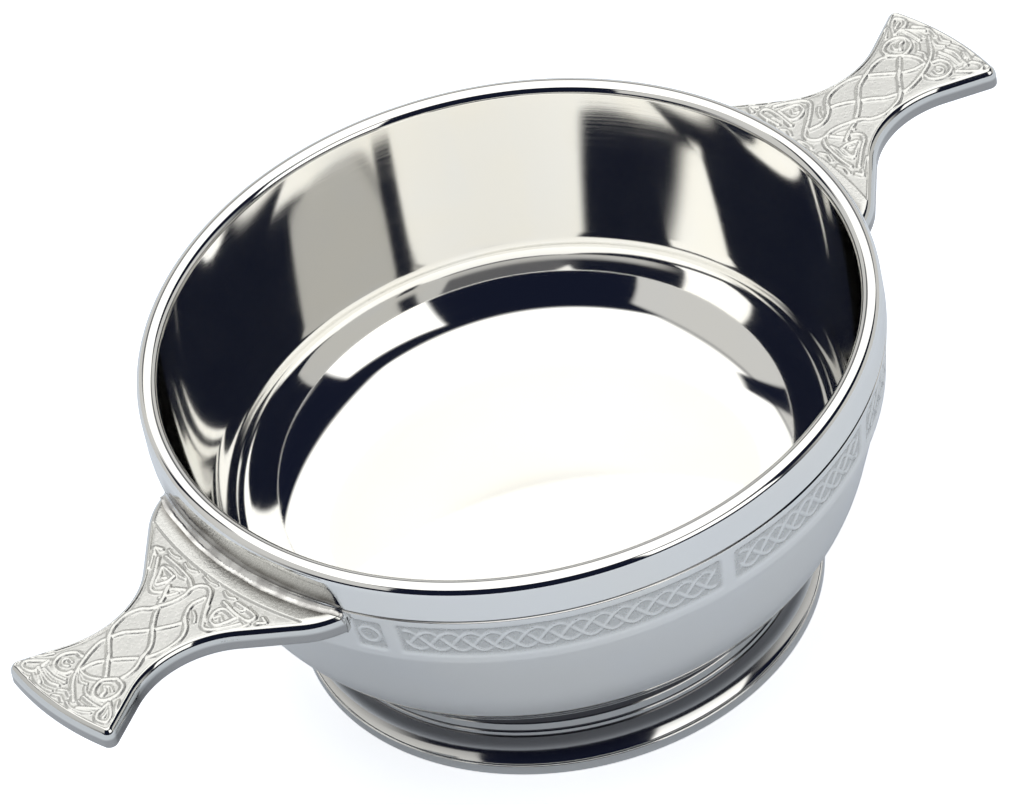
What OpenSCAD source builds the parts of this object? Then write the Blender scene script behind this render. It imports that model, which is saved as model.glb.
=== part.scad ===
// Quaich: a two-lugged drinking bowl in polished pewter on a soldered ring foot.
// Millimetres, +Z up. The origin is the centre of the foot's underside, and +X runs along a lug.

/* [Bowl] */
// Outside diameter of the rim
rim_d = 100; // [80:1:130]
// Height from the foot's underside to the top of the rim
height = 48.5; // [42:0.5:60]
// Thickness of the rounded lip
lip_t = 2.9; // [2:0.1:4]
// Height of the plain collar, from the top of the rim to the groove
collar_h = 5.75; // [5:0.05:8]
// Width of the groove under the collar
groove_w = 0.6; // [0.3:0.05:1]
// Depth of the groove
groove_depth = 0.35; // [0.2:0.05:0.6]
// Height of the ornament band, from the groove to its lower edge
band_h = 8.65; // [7.6:0.05:11]
// Radius that the band loses from its top to its lower edge
band_taper = 1.25; // [0.5:0.05:2.5]
// Set-back of the bowl's side under the band
band_step = 0.3; // [0.1:0.05:0.8]
// Lean of the bowl's side from upright, in degrees
side_lean = 18; // [10:0.5:24]
// Radius of the curve from the side into the underside
knuckle_r = 24.4; // [18:0.1:27]
// Height of the bowl's flat underside over the table
base_z = 6.5; // [6:0.1:9]
// Thickness of the bowl's floor
floor_t = 4.9; // [3:0.1:6.5]
// Radius by which the curve inside the bowl is smaller than the curve outside
knuckle_in = 8.4; // [7.5:0.1:10]
// Thickness of the bowl at its thinnest, where the side turns into the floor
knuckle_t = 1; // [0.9:0.05:2]

/* [Band panels] */
// Height of a sunk panel
panel_h = 6.25; // [4:0.05:6.8]
// Height of the plain strip between the groove and a panel
panel_drop = 1.15; // [0.6:0.05:1.6]
// Depth of a sunk panel
panel_depth = 0.25; // [0.1:0.05:0.6]
// Angle round the bowl of the long panel
panel_long = 52.1; // [40:0.1:54]
// Angle round the bowl of the middle panel
panel_middle = 32.7; // [24:0.1:34]
// Angle of the plain bar between two panels
panel_bar = 1.6; // [1:0.1:3]
// Angle from the +X lug at which the first long panel starts
panel_start = -151.3; // [-180:0.1:180]
// Number of times that the three panels repeat round the bowl
panel_sets = 3; // [1:1:3]

/* [Lugs] */
// Reach of a lug beyond the rim
lug_reach = 32; // [28:0.25:40]
// Thickness of a lug
lug_t = 3.4; // [3:0.1:5]
// Drop of a lug's top face below the top of the rim
lug_drop = 6; // [5.6:0.05:8]
// Width of a lug at its waist
lug_waist_w = 11.4; // [8:0.1:14]
// Distance of the waist from the rim
lug_waist_out = 17.4; // [15:0.1:19]
// Radius of the hollow side of a lug
lug_side_r = 13.4; // [10:0.1:15]
// Spread of the side towards the bowl, in degrees
lug_root_spread = 44.5; // [38:0.5:48]
// Radius of the rounding that brings the side in to the bowl
lug_tip_r = 12; // [8:0.5:16]
// Turn of that rounding, in degrees
lug_tip_turn = 29; // [15:1:35]
// Spread of the side towards the outer end, in degrees
lug_end_spread = 26; // [15:0.5:32]
// Radius of the bowed outer end
lug_end_r = 44; // [30:0.5:60]
// Radius of the outer corners
lug_corner_r = 1.2; // [1.1:0.1:2.5]
// Width of the raised border round the sunk field
lug_border_w = 0.7; // [0.5:0.05:1.05]
// Depth of the sunk field
lug_field_depth = 0.5; // [0.2:0.05:1]
// Width of the plain strip of a lug next to the bowl
lug_root_strip = 3.2; // [2:0.05:6]

/* [Foot] */
// Outside diameter of the foot's flange
foot_d = 72; // [66:0.5:84]
// Height of the flange's upright edge
foot_edge_h = 1.65; // [1:0.05:2.5]
// Radius of the hollow curve from the flange up to the neck
foot_cove_r = 4.4; // [3.6:0.1:5]
// Slope of that curve where it meets the flange, in degrees from upright
foot_flare = 48; // [40:1:60]
// Width of the flat ledge on top of the flange
foot_ledge_w = 0.4; // [0.2:0.1:1.5]
// Thickness of the foot ring at its neck
foot_neck_t = 2.5; // [1.8:0.1:3.5]
// Width of the flat face that stands on the table
foot_land_w = 4; // [2.5:0.1:5]

/* [Solder] */
// Thickness of the solder between a lug or the foot and the bowl
seam_t = 0.3; // [0.2:0.05:0.6]
// Width of the solder fillet on top of a lug
lug_fillet_w = 0.9; // [0.5:0.05:1.2]
// Width of the solder fillet round the neck of the foot
foot_fillet_w = 1.6; // [0.8:0.1:2.4]

/* [Hidden] */
$fn = 128;

// Short straight steps in each curve of an outline
arc_steps = 16;
// Length by which a cutting shape passes the face that it cuts
cut = 1;
// Turn by which a lug's outline runs on into the bowl before it is cut off there, in degrees
tip_over = 6;

// Bowl, worked down from the rim
rim_r = rim_d / 2;
lip_r = lip_t / 2;
lip_z = height - lip_r;
groove_z = height - collar_h;
band_low_z = groove_z - band_h;
band_low_r = rim_r - band_taper;
side_top_r = band_low_r - band_step;
knuckle_z = base_z + knuckle_r;
knuckle_x = side_top_r - (band_low_z - knuckle_z) * tan(side_lean) - knuckle_r / cos(side_lean);
inner_r = rim_r - lip_t;
// The curve inside, which keeps the thickness at the knuckle, and the straight wall from it to the lip
hollow_r = knuckle_r - knuckle_in;
hollow_z = base_z + floor_t + hollow_r;
hollow_x = knuckle_x + sqrt(pow(knuckle_in - knuckle_t, 2) - pow(floor_t - knuckle_in, 2));
hollow_span = norm([inner_r - hollow_x, lip_z - hollow_z]);
hollow_lean = acos(hollow_r / hollow_span) - atan2(lip_z - hollow_z, inner_r - hollow_x);

// Band panels
panel_top_z = groove_z - panel_drop;
panel_low_z = panel_top_z - panel_h;
panel_set_angle = 360 / panel_sets;
panel_short = panel_set_angle - panel_long - panel_middle - 3 * panel_bar;
panel_angles = [panel_long, panel_middle, panel_short];
panel_offsets = [0, panel_long + panel_bar, panel_long + panel_middle + 2 * panel_bar];

// Lugs
lug_top_z = height - lug_drop;
lug_root_r = rim_r + seam_t;
lug_side_x = rim_r + lug_waist_out;
lug_side_y = lug_waist_w / 2 + lug_side_r;
lug_end_x = rim_r + lug_reach - lug_end_r;
// Where the straight outer side leaves the hollow, and the way that it runs
flare_at = [lug_side_x + lug_side_r * sin(lug_end_spread), lug_side_y - lug_side_r * cos(lug_end_spread)];
flare_way = [cos(lug_end_spread), sin(lug_end_spread)];
flare_in = [sin(lug_end_spread), -cos(lug_end_spread)];
// Centre of the rounded corner, on the side and the end both set in by its radius
corner_from = flare_at + lug_corner_r * flare_in - [lug_end_x, 0];
corner_b = corner_from * flare_way;
corner_c = corner_from * corner_from - pow(lug_end_r - lug_corner_r, 2);
corner_at = corner_from + (sqrt(pow(corner_b, 2) - corner_c) - corner_b) * flare_way + [lug_end_x, 0];
corner_turn = atan2(corner_at.y, corner_at.x - lug_end_x);
// Where the straight inner side leaves the hollow, and the way that it runs
root_at = [lug_side_x - lug_side_r * sin(lug_root_spread), lug_side_y - lug_side_r * cos(lug_root_spread)];
root_way = [-cos(lug_root_spread), sin(lug_root_spread)];
root_out = [sin(lug_root_spread), cos(lug_root_spread)];
// The rounding at the root slides along that side until it ends on the bowl
tip_from = 90 - lug_root_spread;
tip_to = tip_from + lug_tip_turn;
tip_start = root_at + lug_tip_r * ([cos(tip_to), sin(tip_to)] - root_out);
tip_b = tip_start * root_way;
tip_slide = -tip_b - sqrt(pow(tip_b, 2) - tip_start * tip_start + pow(lug_root_r, 2));
tip_at = root_at - lug_tip_r * root_out + tip_slide * root_way;
root_tip = tip_start + tip_slide * root_way;
root_half_angle = atan2(root_tip.y, root_tip.x);
// Solder covers the root but for its last thin point
seam_half_angle = root_half_angle - 1;

// Foot
foot_r = foot_d / 2;
foot_cove_x = foot_r - foot_ledge_w + foot_cove_r * cos(foot_flare);
foot_cove_z = foot_edge_h + foot_cove_r * sin(foot_flare);
foot_neck_r = foot_cove_x - foot_cove_r;
foot_bore_r = foot_neck_r - foot_neck_t;
// The top of the neck slopes with the bowl's underside
foot_inner_z = under_z(foot_bore_r) - seam_t;
foot_outer_z = under_z(foot_neck_r) - seam_t;
foot_fillet_r = foot_neck_r + foot_fillet_w;

// Points along a round stretch of an outline
function arc(centre, radius, from, to) =
    [for (i = [0 : arc_steps])
        let (a = from + (to - from) * i / arc_steps)
        centre + radius * [cos(a), sin(a)]];

function band_r(z) = rim_r - band_taper * (groove_z - z) / band_h;

// Height of the bowl's underside over the table
function under_z(r) =
    r < knuckle_x ? base_z : knuckle_z - sqrt(pow(knuckle_r, 2) - pow(r - knuckle_x, 2));

// Half of a lug's outline from the bowl out to the middle of its end, set in by some width
function lug_side(inset) = concat(
    arc(tip_at, lug_tip_r - inset, tip_to + tip_over, tip_from),
    arc([lug_side_x, lug_side_y], lug_side_r + inset, -90 - lug_root_spread, -90 + lug_end_spread),
    arc(corner_at, lug_corner_r - inset, 90 + lug_end_spread, corner_turn),
    arc([lug_end_x, 0], lug_end_r - inset, corner_turn, 0));

function flipped(points) = [for (i = [len(points) - 1 : -1 : 0]) [points[i].x, -points[i].y]];

// The bowl without its hollow, as half of a section
module bowl_outside() {
    polygon(concat(
        [[0, base_z]],
        arc([knuckle_x, knuckle_z], knuckle_r, -90, -side_lean),
        [[side_top_r, band_low_z],
         [band_low_r, band_low_z],
         [band_r(groove_z - groove_w / 2), groove_z - groove_w / 2],
         [rim_r - groove_depth, groove_z],
         [rim_r, groove_z + groove_w / 2]],
        arc([rim_r - lip_r, lip_z], lip_r, 0, 180),
        [[0, lip_z]]));
}

module bowl_hollow() {
    polygon(concat(
        [[0, height + cut], [0, hollow_z - hollow_r]],
        arc([hollow_x, hollow_z], hollow_r, -90, -hollow_lean),
        [[inner_r, lip_z], [inner_r, height + cut]]));
}

// One sunk panel of the band, as a cutting shape
module panel_cut(start, angle) {
    rotate([0, 0, start]) rotate_extrude(angle = angle)
        polygon([[band_r(panel_low_z) - panel_depth, panel_low_z],
                 [rim_r + cut, panel_low_z],
                 [rim_r + cut, panel_top_z],
                 [band_r(panel_top_z) - panel_depth, panel_top_z]]);
}

// The part of the band that a lug's root covers, which stays plain
module root_cover() {
    rotate([0, 0, -root_half_angle]) translate([0, 0, band_low_z])
        rotate_extrude(angle = 2 * root_half_angle) square([rim_r + 2 * cut, band_h]);
}

module panel_cuts() {
    difference() {
        for (set = [0 : panel_sets - 1], i = [0 : 2]) {
            panel_cut(panel_start + set * panel_set_angle + panel_offsets[i], panel_angles[i]);
        }
        root_cover();
        rotate([0, 0, 180]) root_cover();
    }
}

module bowl() {
    color("silver") difference() {
        rotate_extrude() difference() {
            bowl_outside();
            bowl_hollow();
        }
        panel_cuts();
    }
}

module lug_plan(inset, bowl_side_r) {
    difference() {
        polygon(concat(lug_side(inset), flipped(lug_side(inset))));
        circle(bowl_side_r);
    }
}

// A lug on the +X side
module lug() {
    difference() {
        translate([0, 0, lug_top_z - lug_t]) linear_extrude(lug_t) lug_plan(0, lug_root_r);
        translate([0, 0, lug_top_z - lug_field_depth]) linear_extrude(lug_field_depth + cut)
            lug_plan(lug_border_w, rim_r + lug_root_strip);
    }
}

module lug_right() {
    color("lightgray") lug();
}

module lug_left() {
    color("lightgray") rotate([0, 0, 180]) lug();
}

// Solder between the bowl and a lug, with a fillet on the lug's top face
module lug_seam() {
    rotate([0, 0, -seam_half_angle]) rotate_extrude(angle = 2 * seam_half_angle) difference() {
        polygon([[side_top_r, lug_top_z - lug_t],
                 [lug_root_r, lug_top_z - lug_t],
                 [lug_root_r, lug_top_z],
                 [lug_root_r + lug_fillet_w, lug_top_z],
                 [rim_r, lug_top_z + lug_fillet_w],
                 [side_top_r, lug_top_z + lug_fillet_w]]);
        bowl_outside();
    }
}

module seam_lug_right() {
    color("gainsboro") lug_seam();
}

module seam_lug_left() {
    color("gainsboro") rotate([0, 0, 180]) lug_seam();
}

module foot_ring() {
    color("silver") rotate_extrude()
        polygon(concat(
            [[foot_r - foot_land_w, 0], [foot_r, 0], [foot_r, foot_edge_h]],
            arc([foot_cove_x, foot_cove_z], foot_cove_r, 180 + foot_flare, 180),
            [[foot_neck_r, foot_outer_z],
             [foot_bore_r, foot_inner_z],
             [foot_bore_r, foot_edge_h + foot_cove_r / 2]]));
}

// Solder between the foot ring and the bowl's curved underside
module seam_foot() {
    color("gainsboro") rotate_extrude() difference() {
        polygon([[foot_bore_r, foot_inner_z],
                 [foot_neck_r, foot_outer_z],
                 [foot_fillet_r, under_z(foot_fillet_r)],
                 [foot_bore_r, under_z(foot_fillet_r)]]);
        bowl_outside();
    }
}

bowl();
lug_right();
lug_left();
foot_ring();
seam_lug_right();
seam_lug_left();
seam_foot();
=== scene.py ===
"""Looks of a quaich: a polished pewter bowl with two cast lugs, a band of sunk panels and a ring foot."""

import math

import bpy
import numpy as np
from mathutils import Matrix, Vector


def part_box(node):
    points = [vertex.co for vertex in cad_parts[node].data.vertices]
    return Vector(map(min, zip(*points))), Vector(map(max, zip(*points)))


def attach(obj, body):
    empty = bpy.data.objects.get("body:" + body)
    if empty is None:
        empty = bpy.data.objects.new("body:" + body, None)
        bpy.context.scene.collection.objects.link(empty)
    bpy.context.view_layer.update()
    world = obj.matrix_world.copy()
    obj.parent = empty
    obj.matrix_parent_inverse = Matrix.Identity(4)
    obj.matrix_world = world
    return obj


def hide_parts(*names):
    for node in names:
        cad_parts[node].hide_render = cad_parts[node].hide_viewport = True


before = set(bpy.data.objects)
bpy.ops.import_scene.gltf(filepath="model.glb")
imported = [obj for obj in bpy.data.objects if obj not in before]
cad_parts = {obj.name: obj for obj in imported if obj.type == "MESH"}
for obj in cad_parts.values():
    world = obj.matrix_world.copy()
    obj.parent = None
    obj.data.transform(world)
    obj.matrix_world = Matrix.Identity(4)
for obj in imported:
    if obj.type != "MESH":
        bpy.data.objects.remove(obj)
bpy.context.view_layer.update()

# The meshes are worked out in millimetres and scaled to metres when they are made
MM = 0.001
BODY = "root"

# Camera at the photograph's viewing angle, in metres and degrees
CAMERA_AIM = Vector((-0.00953, -0.01002, 0.0473))
CAMERA_DISTANCE = 1.1367
CAMERA_AZIMUTH = -33.95
CAMERA_ELEVATION = 42.27
CAMERA_ROLL = 12.37
CAMERA_LENS = 308.55
CAMERA_SENSOR = 36
CAMERA_REACH = 100


def node_box(name):
    """Lowest and highest corner of a CAD node, in millimetres."""
    return [np.array(corner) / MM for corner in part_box(name)]


bowl_low, bowl_high = node_box("bowl")
foot_low, foot_high = node_box("foot_ring")
lug_low, lug_high = node_box("lug_right")
seam_high = node_box("seam_lug_right")[1]

# Bowl
RIM_R = min(bowl_high[:2])
HEIGHT = bowl_high[2]
BASE_Z = bowl_low[2]
LIP_T = 2.9
LIP_R = LIP_T / 2
GROOVE_Z = HEIGHT - 5.75
GROOVE_HALF_W = 0.26
GROOVE_DEPTH = 0.35
BAND_H = 8.65
BAND_TAPER = 1.25
BAND_LOW_Z = GROOVE_Z - BAND_H
BAND_STEP = 0.3
SIDE_TOP_R = RIM_R - BAND_TAPER - BAND_STEP
SIDE_LEAN = math.radians(18)
SIDE_SLOPE = math.tan(SIDE_LEAN)
# The curve from the side into the underside, and its centre
KNUCKLE_R = 24.4
KNUCKLE_Z = BASE_Z + KNUCKLE_R
KNUCKLE_X = SIDE_TOP_R - (BAND_LOW_Z - KNUCKLE_Z) * SIDE_SLOPE - KNUCKLE_R / math.cos(SIDE_LEAN)
FLOOR_T = 4.9
KNUCKLE_IN = 8.4
KNUCKLE_T = 1
# The inside wall is bowed a little, as a long arc
WALL_R = 384
WALL_STEPS = 12
KNUCKLE_STEPS = 60
EDGE_R = 0.12
# Shares of their full room that the lip's inner rounding and the foot's cove take
LIP_FIT = 0.98
COVE_FIT = 0.97
# Painted shade on the collar over a lug's root, where the lug meets the bowl, and the angle in which it
# fades out
COLLAR_PAINTED_SHADE = 0.8
COLLAR_FADE_ANGLE = 3

# Band panels: the angles are degrees from the right lug
PANEL_TOP_Z = GROOVE_Z - 1.15
PANEL_H = 6.25
PANEL_DEPTH = 0.25
PANEL_START = -151.3
PANEL_ANGLES = (52.1, 32.7, 30.4)
PANEL_BAR = 1.6
PANEL_SETS = 3
PANEL_CORNER_R = 0.9
PANEL_SLOPE_W = 0.75

# Lugs, with x out from the bowl's axis and y across
LUG_END_X = lug_high[0]
LUG_TOP_Z = lug_high[2]
LUG_LOW_Z = lug_low[2]
SEAM_T = 0.3
LUG_ROOT_R = RIM_R + SEAM_T
LUG_WAIST_W = 11.4
LUG_WAIST_X = RIM_R + 17.4
LUG_SIDE_R = 13.4
LUG_ROOT_SPREAD = 44.5
LUG_TIP_R = 12
LUG_TIP_TURN = 29
LUG_END_SPREAD = 26
LUG_END_R = 44
LUG_CORNER_R = 1.2
LUG_ROOT_STRIP_R = RIM_R + 3.2
LUG_FILLET_W = seam_high[2] - LUG_TOP_Z

# Foot
FOOT_R = foot_high[0]
FOOT_TOP_Z = foot_high[2]
FOOT_EDGE_H = 1.65
FOOT_COVE_R = 4.4
FOOT_FLARE = 48
FOOT_LEDGE_W = 0.4
FOOT_NECK_T = 2.5
FOOT_LAND_W = 4
FOOT_FILLET_W = 1.6
FOOT_NECK_R = FOOT_R - FOOT_LEDGE_W - FOOT_COVE_R * (1 - math.cos(math.radians(FOOT_FLARE)))
FOOT_BORE_R = FOOT_NECK_R - FOOT_NECK_T

# Points round a turned piece, and how many times finer the band is cut
TURN_COUNT = 480
BAND_FINER = 4
# Step of a large rounding in degrees, and the number of steps in a small one
ARC_STEP = 1.5
SMALL_ARC_STEPS = 6
FILLET_STEPS = 12


def unit(vector):
    return np.asarray(vector, float) / np.linalg.norm(vector)


def turn_right(way):
    return np.array([way[1], -way[0]])


def arc(centre, radius, start, end, steps):
    """Points along part of a circle, with its angles in degrees."""
    angles = np.radians(np.linspace(start, end, steps + 1))
    return np.asarray(centre) + radius * np.column_stack([np.cos(angles), np.sin(angles)])


def smoothstep(low, high, x):
    t = np.clip((x - low) / (high - low), 0, 1)
    return t * t * (3 - 2 * t)


def rounded(corners):
    """A smooth outline through corners of (r, z, rounding radius), with its normals on the way's right."""
    points, normals = [], []
    spots = [np.array(c[:2], float) for c in corners]

    def put(point, normal):
        if not points or np.linalg.norm(points[-1] - point) > 1e-6:
            points.append(point)
            normals.append(normal)

    put(spots[0], turn_right(unit(spots[1] - spots[0])))
    for before, spot, after, corner in zip(spots, spots[1:], spots[2:], corners[1:]):
        way_in, way_out = unit(spot - before), unit(after - spot)
        turn = math.atan2(way_in[0] * way_out[1] - way_in[1] * way_out[0], way_in @ way_out)
        radius = corner[2]
        start = spot - way_in * radius * math.tan(abs(turn) / 2)
        hand = math.copysign(1, turn)
        centre = start - hand * radius * turn_right(way_in)
        steps = SMALL_ARC_STEPS
        if radius > 1:
            steps = max(4, math.ceil(math.degrees(abs(turn)) / ARC_STEP))
        for i in range(steps + 1):
            a = turn * i / steps
            spin = np.array([[math.cos(a), -math.sin(a)], [math.sin(a), math.cos(a)]])
            normal = spin @ turn_right(way_in)
            put(centre + hand * radius * normal, normal)
    put(spots[-1], turn_right(unit(spots[-1] - spots[-2])))
    return np.array(points), np.array(normals)


def new_object(name, points, faces, materials, normals=None, attributes=None):
    """A smooth mesh object from points in millimetres."""
    mesh = bpy.data.meshes.new(name)
    mesh.from_pydata((np.asarray(points) * MM).tolist(), [], faces)
    mesh.polygons.foreach_set("use_smooth", np.ones(len(mesh.polygons), bool))
    for key, values in (attributes or {}).items():
        layer = mesh.attributes.new(key, "FLOAT", "POINT")
        layer.data.foreach_set("value", np.asarray(values, np.float32))
    for material in materials:
        mesh.materials.append(material)
    mesh.validate()
    mesh.update()
    if normals is not None:
        mesh.normals_split_custom_set_from_vertices(np.asarray(normals).tolist())
    piece = bpy.data.objects.new(name, mesh)
    bpy.context.scene.collection.objects.link(piece)
    return piece


class Turning:
    """Collects the rings of a turned piece, from one end of its outline to the other."""

    def __init__(self):
        self.points, self.normals, self.faces = [], [], []
        self.last = None
        self.total = 0

    def add(self, points, normals):
        """One ring of points, or one point on the axis, joined to the ring before it."""
        count = len(points)
        ring = np.arange(self.total, self.total + count)
        self.points.append(points)
        self.normals.append(normals)
        self.total += count
        if self.last is not None:
            self.join(self.last, ring)
        self.last = ring

    def join(self, one, two):
        low, high = np.append(one, one[0]), np.append(two, two[0])
        if len(one) == 1:
            self.faces += [(one[0], b, a) for a, b in zip(high, high[1:])]
        elif len(two) == 1:
            self.faces += [(a, b, two[0]) for a, b in zip(low, low[1:])]
        elif len(one) == len(two):
            self.faces += list(zip(low, low[1:], high[1:], high))
        elif len(one) < len(two):
            n = len(two) // len(one)
            for i in range(len(one)):
                self.faces.append((low[i], low[i + 1], *high[n * i:n * i + n + 1][::-1]))
        else:
            n = len(one) // len(two)
            for i in range(len(two)):
                self.faces.append((*low[n * i:n * i + n + 1], high[i + 1], high[i]))

    def add_outline(self, points, normals, count=TURN_COUNT):
        angles = np.arange(count) * 2 * math.pi / count
        ring = np.column_stack([np.cos(angles), np.sin(angles)])
        for (r, z), (nr, nz) in zip(points, normals):
            if r < 1e-6:
                self.add(np.array([[0, 0, z]]), np.array([[0, 0, math.copysign(1, nz)]]))
            else:
                self.add(np.column_stack([r * ring, np.full(count, z)]),
                         np.column_stack([nr * ring, np.full(count, nz)]))

    def close(self, first_count=TURN_COUNT):
        """Joins the last ring to the first."""
        self.join(self.last, np.arange(first_count))

    def make(self, name, materials, attributes=None):
        faces = [tuple(int(i) for i in face) for face in self.faces]
        points, normals = np.vstack(self.points), np.vstack(self.normals)
        return new_object(name, points, faces, materials, normals, attributes)


# Node graphs

def add_node(tree, kind, inputs=None, **settings):
    """A new shader node, with its settings and the values or links of its inputs."""
    node = tree.nodes.new(kind)
    for key, value in settings.items():
        setattr(node, key, value)
    for key, value in (inputs or {}).items():
        if isinstance(value, bpy.types.NodeSocket):
            tree.links.new(value, node.inputs[key])
        else:
            node.inputs[key].default_value = value
    return node


def calc(tree, operation, *values):
    """The result of a Math node."""
    return add_node(tree, "ShaderNodeMath", dict(enumerate(values)), operation=operation).outputs[0]


def dot(tree, vector, fixed):
    node = add_node(tree, "ShaderNodeVectorMath", {0: vector, 1: fixed}, operation="DOT_PRODUCT")
    return node.outputs["Value"]


def map_range(tree, value, from_low, from_high, to_low, to_high, curve="SMOOTHSTEP"):
    node = add_node(tree, "ShaderNodeMapRange", {
        "Value": value, "From Min": from_low, "From Max": from_high, "To Min": to_low, "To Max": to_high,
    }, interpolation_type=curve)
    return node.outputs["Result"]


def mix_color(tree, factor, a, b):
    node = add_node(tree, "ShaderNodeMix", data_type="RGBA")
    for socket, value in ((node.inputs["Factor"], factor), (node.inputs[6], a), (node.inputs[7], b)):
        if isinstance(value, bpy.types.NodeSocket):
            tree.links.new(value, socket)
        else:
            socket.default_value = value
    return node.outputs[2]


def mix_value(tree, factor, a, b):
    return add_node(tree, "ShaderNodeMix", {"Factor": factor, 2: a, 3: b}, data_type="FLOAT").outputs[0]


def share_of(tree, name):
    """A share from 0 to 1 that is kept on the mesh's points."""
    return add_node(tree, "ShaderNodeAttribute", attribute_name=name).outputs["Fac"]


def noise(tree, vector, scale, detail=2.0):
    node = add_node(tree, "ShaderNodeTexNoise", {"Vector": vector, "Scale": scale, "Detail": detail})
    return node.outputs["Fac"]


def new_material(name):
    material = bpy.data.materials.new(name)
    material.use_nodes = True
    material.node_tree.nodes.clear()
    return material, material.node_tree


def finish_metal(tree, color, roughness, normal):
    shader = add_node(tree, "ShaderNodeBsdfPrincipled", {
        "Base Color": color, "Metallic": 1.0, "Roughness": roughness, "Normal": normal,
    })
    add_node(tree, "ShaderNodeOutputMaterial", {"Surface": shader.outputs["BSDF"]})


# Materials

PEWTER = (0.84, 0.838, 0.825, 1)
PEWTER_WARM = (0.85, 0.842, 0.815, 1)
CAST_LIGHT = (0.72, 0.72, 0.70, 1)
CAST_DULL = (0.60, 0.60, 0.585, 1)
# Sides of a lug painted darker than its top, as painted shade
CAST_SIDE_PAINTED_SHADE = (0.40, 0.395, 0.39, 1)
# Dark colour painted in the groove, and as painted shade over the lugs' roots and on the foot
TARNISH_AND_SHADE_DARK = (0.07, 0.068, 0.075, 1)
# Warm dark colour of the painted shade on the lugs' root strips
TARNISH_AND_SHADE_WARM = (0.19, 0.175, 0.155, 1)
SOLDER_LIGHT = (0.78, 0.775, 0.76, 1)
SOLDER_DULL = (0.55, 0.54, 0.53, 1)
# Polishing lines across the turning, and how often one changes in a turn round it
LINES_PER_METRE = 6000.0
LINES_ROUND = 2.5


def turning_lines(tree, place):
    """Fine lines left round the piece by polishing on the lathe, from 0 to 1."""
    parts = add_node(tree, "ShaderNodeSeparateXYZ", {"Vector": place})
    x, y, z = (parts.outputs[key] for key in "XYZ")
    squares = [calc(tree, "MULTIPLY", part, part) for part in (x, y)]
    radius = calc(tree, "SQRT", calc(tree, "ADD", *squares))
    angle = calc(tree, "ARCTAN2", y, x)
    spread = add_node(tree, "ShaderNodeCombineXYZ", {
        "X": calc(tree, "MULTIPLY", radius, LINES_PER_METRE),
        "Y": calc(tree, "MULTIPLY", angle, LINES_ROUND),
        "Z": calc(tree, "MULTIPLY", z, LINES_PER_METRE),
    })
    return noise(tree, spread.outputs["Vector"], 1.0, 3.0)


def polished_pewter():
    """Mirror-polished pewter, with a stippled matt ground in the sunk panels, a dark line painted in the
    groove, and painted shade over the lugs' roots and down the foot's neck.
    """
    material, tree = new_material("polished_pewter")
    place = add_node(tree, "ShaderNodeTexCoord").outputs["Object"]
    ground, tarnish_and_painted_shade = share_of(tree, "ground"), share_of(tree, "tarnish_and_painted_shade")
    lines = turning_lines(tree, place)
    cloud = noise(tree, place, 55.0)
    stipple = noise(tree, place, 2600.0, 2.0)
    color = mix_color(tree, map_range(tree, cloud, 0.35, 0.65, 0.0, 1.0), PEWTER, PEWTER_WARM)
    color = mix_color(tree, calc(tree, "MULTIPLY", ground, 0.85), color, CAST_DULL)
    # Painted dark where the mesh marks it: a line in the groove, and painted shade on the collar and the
    # foot's neck
    color = mix_color(tree, calc(tree, "MULTIPLY", tarnish_and_painted_shade, 0.85), color, TARNISH_AND_SHADE_DARK)
    wear = calc(tree, "ADD", calc(tree, "MULTIPLY", lines, 0.6), calc(tree, "MULTIPLY", cloud, 0.4))
    shine = map_range(tree, wear, 0.35, 0.7, 0.035, 0.075)
    dull = map_range(tree, stipple, 0.3, 0.7, 0.24, 0.4)
    roughness = mix_value(tree, ground, shine, dull)
    roughness = mix_value(tree, calc(tree, "MULTIPLY", tarnish_and_painted_shade, 0.5), roughness, 0.3)
    pits = calc(tree, "MULTIPLY", calc(tree, "MULTIPLY", stipple, ground), 0.5)
    relief = calc(tree, "ADD", calc(tree, "MULTIPLY", lines, 0.004), pits)
    bump = add_node(tree, "ShaderNodeBump", {"Height": relief, "Strength": 0.35, "Distance": 0.0002})
    finish_metal(tree, color, roughness, bump.outputs["Normal"])
    return material


def cast_pewter():
    """Satin cast pewter with a fine grain, polished edges where the lug is buffed, sides painted darker as
    shade, and painted shade with patches on the root strip.
    """
    material, tree = new_material("cast_pewter")
    place = add_node(tree, "ShaderNodeTexCoord").outputs["Object"]
    buffed, low = share_of(tree, "buffed"), share_of(tree, "low")
    side, tarnish_and_painted_shade = share_of(tree, "side"), share_of(tree, "tarnish_and_painted_shade")
    grain = noise(tree, place, 2400.0, 3.0)
    cloud = noise(tree, place, 320.0, 2.0)
    dulling = calc(tree, "MULTIPLY", low, map_range(tree, cloud, 0.3, 0.7, 0.15, 0.55))
    color = mix_color(tree, dulling, CAST_LIGHT, CAST_DULL)
    # Painted shade: the sides and underside are coloured darker than the top
    color = mix_color(tree, side, color, CAST_SIDE_PAINTED_SHADE)
    # Painted shade on the root strip towards the bowl, broken into patches
    patchy_root_shade = calc(tree, "MULTIPLY", tarnish_and_painted_shade, map_range(tree, cloud, 0.3, 0.7, 0.6, 1.0))
    color = mix_color(tree, patchy_root_shade, color, TARNISH_AND_SHADE_WARM)
    satin = map_range(tree, grain, 0.3, 0.7, 0.26, 0.40)
    roughness = mix_value(tree, buffed, satin, 0.07)
    roughness = mix_value(tree, side, roughness, 0.22)
    rough_share = map_range(tree, buffed, 0.0, 1.0, 1.0, 0.03, "LINEAR")
    unevenness = calc(tree, "ADD", grain, calc(tree, "MULTIPLY", cloud, 0.6))
    relief = calc(tree, "MULTIPLY", unevenness, rough_share)
    bump = add_node(tree, "ShaderNodeBump", {"Height": relief, "Strength": 0.35, "Distance": 0.0001})
    finish_metal(tree, color, roughness, bump.outputs["Normal"])
    return material


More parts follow.
